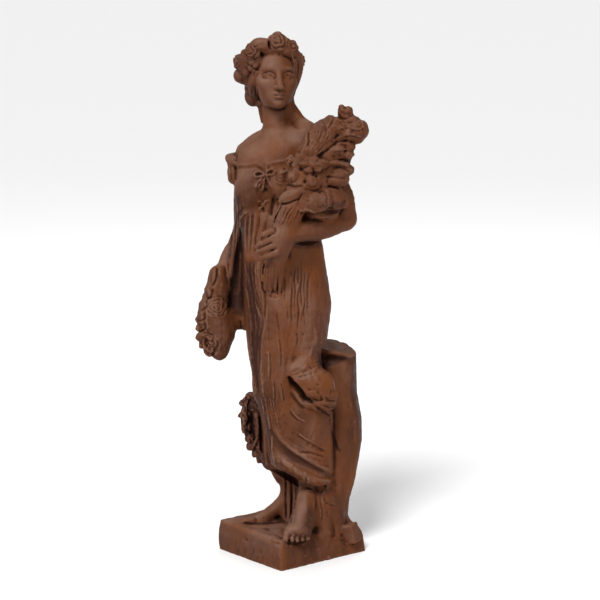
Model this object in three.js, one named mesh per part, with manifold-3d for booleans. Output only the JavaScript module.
// Cast iron garden statue: a standing woman in a long gown, with a wreath of
// roses in her hair, a bouquet in the crook of her left arm and a bunch of
// roses hanging from her right hand, beside a tree stump on a low square base.
// Figure, stump and base are one casting.
//
// Millimetres, +Z up. The origin is the middle of the base's underside, and the
// base's sides are parallel to X and Y. The figure is laid out in a frame of its
// own, turned by FIGURE_TURN about Z, in which +X is the side of the stump, -Y
// is the way the left foot points and the right foot points to -X.
import * as THREE from "three";
import { mergeVertices } from "three/addons/utils/BufferGeometryUtils.js";
import Module from "manifold-3d";

const wasm = await Module();
wasm.setup();

// ---- driving dimensions -------------------------------------------------
const FIGURE_TURN = 50.3; // degrees from the base's sides to the figure's frame
const BASE_WIDTH = 160; // along X
const BASE_DEPTH = 175; // along Y
const BASE_HEIGHT = 50;
const BASE_EDGE = 6; // cut-off of the base's upright corners
const TORSO_TURN = 30; // degrees that the chest faces away from -Y, to -X
const HEAD_TURN = -14; // degrees that the face turns, to +X
const HEAD = [-29, 4, 758]; // middle of the skull
const SKULL = [35, 41, 46]; // half width, half depth, half height
const HEM_HEIGHT = 128;
const HEM_RISE = 12; // how much higher the hem is at the figure's right
const SKIRT_FOLDS = 10;
const SKIRT_FOLD_DEPTH = 5.2; // at the hem; less towards the hip
const RIGHT_KNEE = [-30, -34, 282]; // the bent knee that pushes the gown forward
const STUMP_TOP = 330;
const STUMP_TOP_SLOPE = 0.16;
const ROSE = 11; // radius of a full rose

// Gown and chest, from the hem up: height, middle x, middle y, half width, half depth
const GOWN = [
  [118, 16, -14, 52, 44],
  [165, 13, -12, 57, 47],
  [265, 5, -10, 60, 49],
  [330, -3, -7, 71, 54],
  [405, -5, -4, 74, 56],
  [450, -9, -2, 70, 52],
  [487, -13, 0, 65, 47],
  [530, -16, 2, 59, 43],
  [580, -19, 2, 61, 46],
  [620, -20, 4, 66, 43],
  [645, -21, 6, 60, 35],
  [668, -23, 6, 36, 28],
];
// Stump, from the ground up: height, middle x, middle y, radius
const STUMP = [
  [34, 52, 20, 42],
  [62, 56, 23, 33],
  [115, 67, 25, 36],
  [175, 73, 27, 40],
  [245, 68, 28, 36],
  [STUMP_TOP + 12, 68, 28, 34],
];

// ---- small helpers ------------------------------------------------------
const rad = THREE.MathUtils.degToRad;
const V = (p) => new THREE.Vector3(p[0], p[1], p[2]);

// Smooth value of a table's columns at a height.
function atHeight(table, z) {
  let i = 0;
  while (i < table.length - 2 && z > table[i + 1][0]) i++;
  const a = table[i],
    b = table[i + 1];
  const t = THREE.MathUtils.clamp((z - a[0]) / (b[0] - a[0]), 0, 1);
  const s = t * t * (3 - 2 * t) * 0.5 + t * 0.5;
  return a.slice(1).map((v, k) => v + (b[k + 1] - v) * s);
}

// Repeatable unevenness, about -1 to 1.
function uneven(x, y, z) {
  return (
    (Math.sin(x * 0.11 + z * 0.07 + 1.3) +
      Math.sin(y * 0.13 - z * 0.05 + 4.1) +
      Math.sin((x + y) * 0.21 + 0.7)) /
    3
  );
}

// A closed skin: a sphere's grid of seg by rows, each vertex put in place by
// ring(t, angle), with t from 0 at one pole to 1 at the other.
function skin(seg, rows, ring) {
  const g = new THREE.SphereGeometry(1, seg, rows);
  const p = g.attributes.position;
  for (let i = 0; i <= rows; i++)
    for (let j = 0; j <= seg; j++) {
      const q = ring(i / rows, ((j % seg) / seg) * 2 * Math.PI);
      p.setXYZ(i * (seg + 1) + j, q.x, q.y, q.z);
    }
  return g;
}

// The closed geometry as a solid, with its faces pointing out.
function solid(geometry) {
  const g = geometry.clone();
  for (const k of Object.keys(g.attributes))
    if (k !== "position") g.deleteAttribute(k);
  const m = mergeVertices(g, 1e-3);
  const tri = [];
  for (let i = 0; i < m.index.count; i += 3) {
    const [a, b, c] = [0, 1, 2].map((k) => m.index.getX(i + k));
    if (a !== b && b !== c && a !== c) tri.push(a, b, c);
  }
  const make = (t) =>
    new wasm.Manifold(
      new wasm.Mesh({
        numProp: 3,
        vertProperties: new Float32Array(m.attributes.position.array),
        triVerts: new Uint32Array(t),
      }),
    );
  let made = make(tri);
  if (made.volume() < 0) {
    for (let i = 0; i < tri.length; i += 3)
      [tri[i + 1], tri[i + 2]] = [tri[i + 2], tri[i + 1]];
    made = make(tri);
  }
  return made;
}

// A limb along a smooth curve through points, with a radius at each point, round
// at both ends. flat narrows it along the reference direction.
function limb(points, radii, { seg = 7, rows = 7, flat = 1, ref = [0, 1, 0.3] } = {}) {
  const curve = new THREE.CatmullRomCurve3(points.map(V), false, "centripetal");
  const r = (t) => {
    const f = t * (radii.length - 1),
      i = Math.min(Math.floor(f), radii.length - 2),
      u = f - i;
    return radii[i] + (radii[i + 1] - radii[i]) * u;
  };
  const cap = 0.16;
  return skin(seg, rows, (t, a) => {
    const s = THREE.MathUtils.clamp((t - cap) / (1 - 2 * cap), 0, 1);
    const end = t < cap ? 1 - t / cap : t > 1 - cap ? 1 - (1 - t) / cap : 0;
    const tangent = curve.getTangent(s);
    const side = new THREE.Vector3().crossVectors(tangent, V(ref)).normalize();
    const front = new THREE.Vector3().crossVectors(side, tangent).normalize();
    const k = r(s) * Math.cos((end * Math.PI) / 2);
    return curve
      .getPoint(s)
      .addScaledVector(tangent, (t < 0.5 ? -1 : 1) * r(s) * 0.8 * Math.sin((end * Math.PI) / 2))
      .addScaledVector(side, k * Math.cos(a))
      .addScaledVector(front, k * flat * Math.sin(a));
  });
}

// An ellipsoid with its own axes, turned about Z.
function egg(middle, half, turn = 0, seg = 9, rows = 6) {
  const g = new THREE.SphereGeometry(1, seg, rows);
  g.rotateX(Math.PI / 2);
  g.scale(...half);
  g.rotateZ(rad(turn));
  g.translate(...middle);
  return g;
}

// A rose: petals that wind round its middle, facing along way.
function rose(middle, way, r = ROSE) {
  const q = new THREE.Quaternion().setFromUnitVectors(
    new THREE.Vector3(0, 0, 1),
    V(way).normalize(),
  );
  return skin(7, 4, (t, a) => {
    const theta = t * Math.PI;
    const k = r * (1 + 0.13 * Math.sin(theta) * Math.cos(3 * a + 5 * theta));
    const dish = theta < 0.6 ? -0.18 * r * (1 - theta / 0.6) : 0;
    return new THREE.Vector3(
      k * Math.sin(theta) * Math.cos(a),
      k * Math.sin(theta) * Math.sin(a),
      0.72 * k * Math.cos(theta) + dish,
    )
      .applyQuaternion(q)
      .add(V(middle));
  });
}

// A leaf: pointed, thin and a little bent, from root along way, facing up.
function leaf(root, way, up, length, width, thick = 3.2, bend = 0.18) {
  const along = V(way).normalize();
  const side = new THREE.Vector3().crossVectors(along, V(up)).normalize();
  const face = new THREE.Vector3().crossVectors(side, along).normalize();
  return skin(6, 4, (t, a) => {
    const w = Math.sin(Math.PI * Math.pow(t, 0.75));
    return V(root)
      .addScaledVector(along, length * t)
      .addScaledVector(side, width * w * Math.cos(a))
      .addScaledVector(face, thick * Math.sqrt(Math.max(w, 0)) * Math.sin(a) - bend * length * t * t);
  });
}

// The torso's own directions: her left and the way the chest faces.
const LEFT = [Math.cos(rad(TORSO_TURN)), -Math.sin(rad(TORSO_TURN))];
const FRONT = [-Math.sin(rad(TORSO_TURN)), -Math.cos(rad(TORSO_TURN))];
const onTorso = (z, left, front) => {
  const [x, y] = atHeight(GOWN, z);
  return [x + LEFT[0] * left + FRONT[0] * front, y + LEFT[1] * left + FRONT[1] * front, z];
};

// ---- base, ground and stump ---------------------------------------------
function base() {
  const w = BASE_WIDTH / 2,
    d = BASE_DEPTH / 2,
    e = BASE_EDGE;
  const outline = new THREE.Shape();
  outline.moveTo(-w + e, -d).lineTo(w - e, -d).lineTo(w, -d + e);
  outline.lineTo(w, d - e).lineTo(w - e, d).lineTo(-w + e, d);
  outline.lineTo(-w, d - e).lineTo(-w, -d + e).closePath();
  const block = new THREE.ExtrudeGeometry(outline, { depth: BASE_HEIGHT - 9, bevelEnabled: false });
  // rough ground on top, falling to the edges and most of all to +X
  const ground = skin(16, 6, (t, a) => {
    const s = t < 0.72 ? t / 0.72 : 1;
    const c = Math.cos(a),
      n = Math.sin(a);
    const m = Math.max(Math.abs(c) / (w - 2), Math.abs(n) / (d - 2));
    const x = (c / m) * s * 0.985,
      y = (n / m) * s * 0.985;
    const fall = (x / w > 0.4 ? 9 * (x / w - 0.4) : 0) + 5 * Math.pow(s, 6);
    const top = BASE_HEIGHT + 1.6 * uneven(x * 2.2, y * 2.2, 0) - fall;
    const bottom = BASE_HEIGHT - 16;
    const z = t < 0.72 ? top : top + (bottom - top) * ((t - 0.72) / 0.28);
    const inwards = t > 0.73 ? (1 - (t - 0.72) / 0.28) : 1;
    return new THREE.Vector3(x * (t > 0.73 ? inwards : 1), y * (t > 0.73 ? inwards : 1), t > 0.73 ? bottom : z);
  });
  return solid(block).add(solid(ground));
}

function stump() {
  return skin(16, 9, (t, a) => {
    const s = THREE.MathUtils.clamp((t - 0.08) / 0.84, 0, 1);
    const z0 = STUMP[0][0] + s * (STUMP[STUMP.length - 1][0] - 12 - STUMP[0][0]);
    const [x, y, r] = atHeight(STUMP, z0);
    const bark = 1 + 0.035 * Math.cos(7 * a + z0 * 0.012) + 0.02 * Math.cos(11 * a - z0 * 0.02);
    const k = t === 0 || t === 1 ? 0 : r * bark;
    const slope = s === 1 ? -STUMP_TOP_SLOPE * (k * Math.cos(a) * 0.5 - k * Math.sin(a)) : 0;
    return new THREE.Vector3(x + k * Math.cos(a), y + k * Math.sin(a), z0 + slope);
  });
}

// ---- gown and body ------------------------------------------------------
// Distance from the gown's middle to its surface, by angle and height.
function gownRadius(a, z) {
  const [, , w, d] = atHeight(GOWN, z);
  const b = a + rad(TORSO_TURN + 5);
  const r = 1 / Math.hypot(Math.cos(b) / w, Math.sin(b) / d);
  const low = THREE.MathUtils.clamp((560 - z) / (560 - HEM_HEIGHT), 0, 1);
  const sweep = Math.pow(1 - THREE.MathUtils.clamp((z - HEM_HEIGHT) / 190, 0, 1), 2) * 1.5;
  const fold = Math.cos(SKIRT_FOLDS * a + SKIRT_FOLDS * sweep * 0.5 + 0.8 * Math.sin(2 * a));
  const [x, y] = atHeight(GOWN, z);
  const knee = Math.atan2(RIGHT_KNEE[1] - y, RIGHT_KNEE[0] - x);
  const off = Math.atan2(Math.sin(a - knee), Math.cos(a - knee));
  const bulge = 9 * Math.exp(-((off / 0.5) ** 2) - ((z - RIGHT_KNEE[2]) / 75) ** 2);
  return r + bulge + SKIRT_FOLD_DEPTH * Math.pow(low, 0.8) * (fold > 0 ? fold : fold * 0.7);
}

function gown() {
  const topZ = GOWN[GOWN.length - 1][0];
  return skin(40, 18, (t, a) => {
    const s = THREE.MathUtils.clamp((t - 0.05) / 0.9, 0, 1);
    const hem = HEM_HEIGHT - (t === 0 || t === 1 ? 0 : HEM_RISE * Math.cos(a + 0.4));
    const z = hem + s * (topZ - hem);
    const [x, y] = atHeight(GOWN, z);
    const r = t === 0 || t === 1 ? 0 : gownRadius(a, z);
    const under = t === 0 ? 22 : 0; // hollow under the hem
    return new THREE.Vector3(x + r * Math.cos(a), y + r * Math.sin(a), z + under);
  });
}

function head() {
  const turn = rad(HEAD_TURN);
  return skin(16, 12, (t, a) => {
    const th = t * Math.PI;
    let x = Math.sin(th) * Math.cos(a),
      y = Math.sin(th) * Math.sin(a),
      z = Math.cos(th);
    const f = Math.max(0, -y); // how much a point faces forward
    const jaw = z < -0.1 ? 1 - (z + 0.1) * 0.16 : 1;
    const mid = Math.exp(-((x / 0.16) ** 2)) * f * f;
    const nose = mid * Math.exp(-(((z + 0.22) / 0.17) ** 2)) * 0.2;
    const brow = Math.exp(-(((z - 0.12) / 0.09) ** 2)) * f * f * 0.045;
    const eyes = Math.exp(-(((Math.abs(x) - 0.36) / 0.16) ** 2) - ((z - 0.0) / 0.08) ** 2) * f * 0.07;
    const chin = Math.exp(-((x / 0.28) ** 2) - ((z + 0.92) / 0.16) ** 2) * f * 0.3;
    const px = x * SKULL[0] * jaw,
      py = y * SKULL[1] * (1 + brow - eyes + chin) - nose * SKULL[1] - (z < -0.3 ? 5 * (-0.3 - z) : 0),
      pz = z * SKULL[2] * (z < 0 ? 1.22 : 1);
    return new THREE.Vector3(
      HEAD[0] + px * Math.cos(turn) + py * Math.sin(turn),
      HEAD[1] - px * Math.sin(turn) + py * Math.cos(turn),
      HEAD[2] + pz,
    );
  });
}

// ---- everything joined into one casting ---------------------------------
const FIGURE = [];
const put = (...geometries) => FIGURE.push(...geometries);

put(gown(), stump());
// breasts, shoulders and neck
for (const side of [-1, 1]) put(egg(onTorso(590, side * 32, 28), [26, 24, 27], 0, 9, 6));
put(limb([onTorso(636, -66, 0), onTorso(660, -28, 0), onTorso(660, 28, 0), onTorso(636, 66, 0)], [19, 23, 23, 19], { rows: 9 }));
put(limb([[-21, 11, 648], [-23, 7, 684], [-27, 4, 722]], [36, 26, 25], { rows: 7, seg: 10 }));
put(head());

// hair: cap, rolls at the sides and a knot low at the back
put(
  skin(14, 8, (t, a) => {
    const th = t * Math.PI,
      turn = rad(HEAD_TURN);
    const wave = 1 + 0.03 * Math.cos(7 * a + 6 * t);
    const x = Math.sin(th) * Math.cos(a) * 43 * wave,
      y = Math.sin(th) * Math.sin(a) * 41 * wave + 11,
      z = Math.cos(th) * 44;
    return new THREE.Vector3(
      HEAD[0] - 4 + x * Math.cos(turn) - y * Math.sin(turn),
      HEAD[1] + x * Math.sin(turn) + y * Math.cos(turn),
      HEAD[2] + 12 + z,
    );
  }),
);
put(egg([-60, 34, 726], [20, 22, 21], 0, 8, 6));
put(limb([[-66, 0, 766], [-66, 8, 742], [-60, 22, 720]], [10, 10, 8], { seg: 6 }));
put(limb([[9, -4, 772], [10, 4, 745], [0, 18, 722]], [8, 9, 7], { seg: 6 }));
put(limb([[-4, 18, 716], [2, 14, 690], [20, 6, 664]], [8, 8, 6], { seg: 6 }));

// wreath: roses and leaves round the brow, higher at the front
const WREATH = { middle: [-34, 6, 784], across: 42, deep: 29, rise: 13 };
const wreathAt = (deg, out = 1) => {
  const a = rad(deg);
  return [
    WREATH.middle[0] + WREATH.across * out * Math.sin(a),
    WREATH.middle[1] - WREATH.deep * out * Math.cos(a),
    WREATH.middle[2] + WREATH.rise * Math.cos(a) + 5,
  ];
};
for (const [deg, r] of [[8, 14], [40, 12], [-30, 12], [-62, 15], [-92, 15], [78, 10]])
  put(rose(wreathAt(deg), [Math.sin(rad(deg)), -Math.cos(rad(deg)), 0.55], r));
put(rose([-78, 12, 764], [-1, -0.3, 0], 14));
for (const deg of [-128, 118, 155, -165])
  put(leaf(wreathAt(deg - 16, 0.95), [Math.cos(rad(deg)), Math.sin(rad(deg)), 0.1], [Math.sin(rad(deg)), -Math.cos(rad(deg)), 0.5], 27, 9, 5));

// right arm, its fallen sleeve, the cloth that hangs from it and the hand
put(limb([onTorso(634, -62, 0), [-77, 44, 585], [-79, 46, 538], [-99, 32, 492], [-116, 18, 450]], [18, 16.5, 15, 13, 11], { rows: 9, seg: 8 }));
put(egg([-82, 34, 606], [24, 24, 17], 0, 9, 6));
put(limb([[-68, 36, 540], [-84, 34, 480], [-93, 26, 405], [-96, 18, 348]], [14, 20, 22, 17], { rows: 8 }));
put(limb([[-116, 18, 452], [-121, 8, 430], [-119, 0, 406]], [11, 13, 9]));
// bunch of roses hanging from the right hand
const BUNCH = { middle: [-117, 8, 366], half: [31, 26, 60] };
put(
  skin(11, 8, (t, a) => {
    const th = t * Math.PI;
    const k = 1 + 0.06 * Math.cos(4 * a + 9 * t);
    return new THREE.Vector3(
      BUNCH.middle[0] + BUNCH.half[0] * k * Math.sin(th) * Math.cos(a) * (1 - 0.12 * Math.cos(th)),
      BUNCH.middle[1] + BUNCH.half[1] * k * Math.sin(th) * Math.sin(a),
      BUNCH.middle[2] + BUNCH.half[2] * Math.cos(th),
    );
  }),
);
const onBunch = (deg, h, out = 0.94) => {
  const a = rad(deg),
    w = Math.sqrt(Math.max(0.1, 1 - h * h));
  return [
    BUNCH.middle[0] + BUNCH.half[0] * w * out * Math.sin(a),
    BUNCH.middle[1] - BUNCH.half[1] * w * out * Math.cos(a),
    BUNCH.middle[2] + BUNCH.half[2] * h,
  ];
};
for (const [deg, h, r] of [[-2, 0.36, 14], [-80, 0.2, 11], [-72, -0.3, 12], [-30, -0.66, 12], [170, 0.1, 13]])
  put(rose(onBunch(deg, h), [Math.sin(rad(deg)), -Math.cos(rad(deg)), 0.1], r));
for (const [deg, h] of [[-60, 0.8], [40, 0]])
  put(leaf(onBunch(deg, h), [0.2, -0.2, -1], [Math.sin(rad(deg)), -Math.cos(rad(deg)), 0], 34, 11, 5));

// left arm, bent across the waist, and its hand
put(limb([onTorso(634, 60, 4), [60, -24, 588], [84, -28, 537]], [18, 18, 17], { rows: 6, seg: 8 }));
put(limb([[84, -28, 536], [50, -60, 527], [8, -82, 512]], [17, 16.5, 12], { seg: 8 }));
put(limb([[10, -82, 511], [-14, -88, 503], [-28, -88, 496]], [12, 15, 13], { flat: 0.8 }));
for (let f = 0; f < 4; f++)
  put(
    limb(
      [[-22, -92 + f, 510 - 8 * f], [-40, -97 + f, 503 - 8.5 * f], [-53 + 2.5 * f, -86, 496 - 9 * f]],
      [6, 5.8, 4.6],
      { rows: 5, seg: 5 },
    ),
  );

// bouquet: wrapped stems that open upwards, with leaves and flowers
const BOUQUET = new THREE.CatmullRomCurve3([[-46, -76, 452], [-24, -76, 500], [14, -68, 556], [46, -52, 612], [72, -26, 668]].map(V));
const BOUQUET_R = [7, 15, 36, 44, 40];
put(
  skin(12, 8, (t, a) => {
    const s = THREE.MathUtils.clamp((t - 0.07) / 0.86, 0, 1);
    const f = s * (BOUQUET_R.length - 1),
      i = Math.min(Math.floor(f), 3);
    const r = BOUQUET_R[i] + (BOUQUET_R[i + 1] - BOUQUET_R[i]) * (f - i);
    const tangent = BOUQUET.getTangent(s);
    const side = new THREE.Vector3().crossVectors(tangent, new THREE.Vector3(0, 1, 0.4)).normalize();
    const front = new THREE.Vector3().crossVectors(side, tangent);
    const k = t === 0 || t === 1 ? 0 : r * (1 + 0.07 * Math.cos(6 * a + 4 * s));
    return BOUQUET.getPoint(s)
      .addScaledVector(tangent, t === 1 ? 14 : 0)
      .addScaledVector(side, k * Math.cos(a))
      .addScaledVector(front, k * 0.74 * Math.sin(a));
  }),
);
for (const [x, y, z, r, way] of [
  [24, -96, 584, 14, [-0.1, -1, 0.2]],
  [4, -84, 606, 12, [-0.4, -0.9, 0.2]],
  [42, -88, 616, 13, [0, -1, 0.1]],
  [98, -28, 668, 20, [0.6, -0.6, 0.5]],
  [70, -48, 668, 20, [0, -0.7, 0.6]],
  [90, -46, 634, 15, [0.6, -0.8, 0]],
  [78, -54, 604, 16, [0.8, -0.6, 0]],
])
  put(rose([x, y, z], way, r));
put(limb([[70, -30, 655], [79, -22, 682], [81, -16, 704]], [13, 11, 7], { rows: 6, seg: 6 }));
for (const [root, way, up, l, w] of [
  [[16, -84, 562], [-0.7, -0.3, -0.3], [-0.2, -1, 0.3], 46, 15],
  [[34, -86, 562], [-0.1, -0.4, -1], [0, -1, 0.1], 46, 17],
  [[38, -78, 570], [0.8, -0.1, -0.4], [0.1, -1, 0.3], 48, 16],
  [[26, -76, 606], [-0.1, 0.3, 1], [-0.3, -1, 0], 66, 15],
])
  put(leaf(root, way, up, l, w, 5));

// neckline band and the ribbon bow on the bodice
put(limb([onTorso(618, -60, 24), onTorso(607, -34, 48), onTorso(602, 0, 48), onTorso(604, 30, 49)], [6, 5, 5, 5], { rows: 7, seg: 6 }));
for (const s of [-1, 1]) put(limb([onTorso(600, 0, 48), onTorso(598, s * 8, 53), onTorso(588, s * 14, 54)], [3, 4, 3], { rows: 5, seg: 5 }));

// overfold of the gown caught up at the left knee
put(
  skin(12, 7, (t, a) => {
    const th = t * Math.PI;
    const k = 1 + 0.07 * Math.cos(5 * a + 3 * t) * Math.sin(th);
    return new THREE.Vector3(
      28 + 37 * k * Math.sin(th) * Math.cos(a) + 16 * (t - 0.5),
      -44 + 27 * k * Math.sin(th) * Math.sin(a),
      280 + 40 * Math.cos(th),
    );
  }),
);
// roll of the hem, and the cloth hanging down to the ground between the feet
put(limb([[-34, -30, 143], [-4, -60, 134], [36, -56, 124], [60, -30, 122]], [7, 9, 9, 8], { rows: 8, seg: 6 }));
put(limb([[-10, -2, 150], [-6, -6, 95], [-2, -10, 44]], [24, 17, 15]));

// legs and feet: the left foot flat, the right one with its heel raised
put(limb([[22, -28, 150], [24, -40, 105], [25, -44, 76]], [21, 16, 14]));
put(limb([[25, -40, 64], [16, -66, 66], [2, -98, 57]], [14, 14.5, 13], { flat: 0.8, ref: [0, 0, 1] }));
put(limb([[-4, 8, 150], [-12, 6, 112]], [20, 15], { rows: 6 }));
put(limb([[-6, 7, 104], [-38, 4, 82], [-80, 0, 57]], [15, 14, 11], { flat: 0.85, ref: [0, 0, 1] }));

// flowers and leaves hanging behind the gown at the figure's right
const TRAIL = { middle: [-56, 32, 196], half: [25, 22, 58] };
put(egg(TRAIL.middle, TRAIL.half, 0, 8, 6));
put(limb([[-52, 36, 245], [-30, 48, 300], [10, 54, 335], [36, 44, 385]], [10, 11, 11, 8], { rows: 8, seg: 6 }));
for (const [x, y, z, r] of [[-74, 34, 238, 12], [-78, 30, 206, 12], [-70, 36, 172, 12], [-58, 50, 205, 13]])
  put(rose([x, y, z], [-0.7, 0.3, 0.1], r));

// a stone on the ground and a knot at the foot of the stump
put(egg([88, -22, 42], [13, 12, 11], 20, 8, 5), egg([54, -12, 92], [10, 8, 11], 0, 8, 5));

let casting = base();
// the figure stands on the ground: nothing of it reaches below the base's block
const below = new THREE.BoxGeometry(400, 400, 40);
below.translate(0, 0, 8 - 20);
let figure = null;
for (const g of FIGURE) {
  g.rotateZ(rad(FIGURE_TURN));
  figure = figure ? figure.add(solid(g)) : solid(g);
}
casting = casting.add(figure.subtract(solid(below)));

// The solid as a mesh's geometry.
function toGeometry(s) {
  const m = s.getMesh();
  const g = new THREE.BufferGeometry();
  const v = new Float32Array(m.numVert * 3);
  for (let i = 0; i < m.numVert; i++)
    for (let k = 0; k < 3; k++) v[i * 3 + k] = m.vertProperties[i * m.numProp + k];
  g.setAttribute("position", new THREE.BufferAttribute(v, 3));
  g.setIndex(new THREE.BufferAttribute(new Uint32Array(m.triVerts), 1));
  return g;
}

const iron = new THREE.MeshStandardMaterial({ color: 0x6b4433, roughness: 0.72, metalness: 0.35 });
const statue = new THREE.Mesh(toGeometry(casting), iron);
statue.name = "statue";
statue.geometry.computeVertexNormals();

const part = new THREE.Group();
part.add(statue);
export default part;
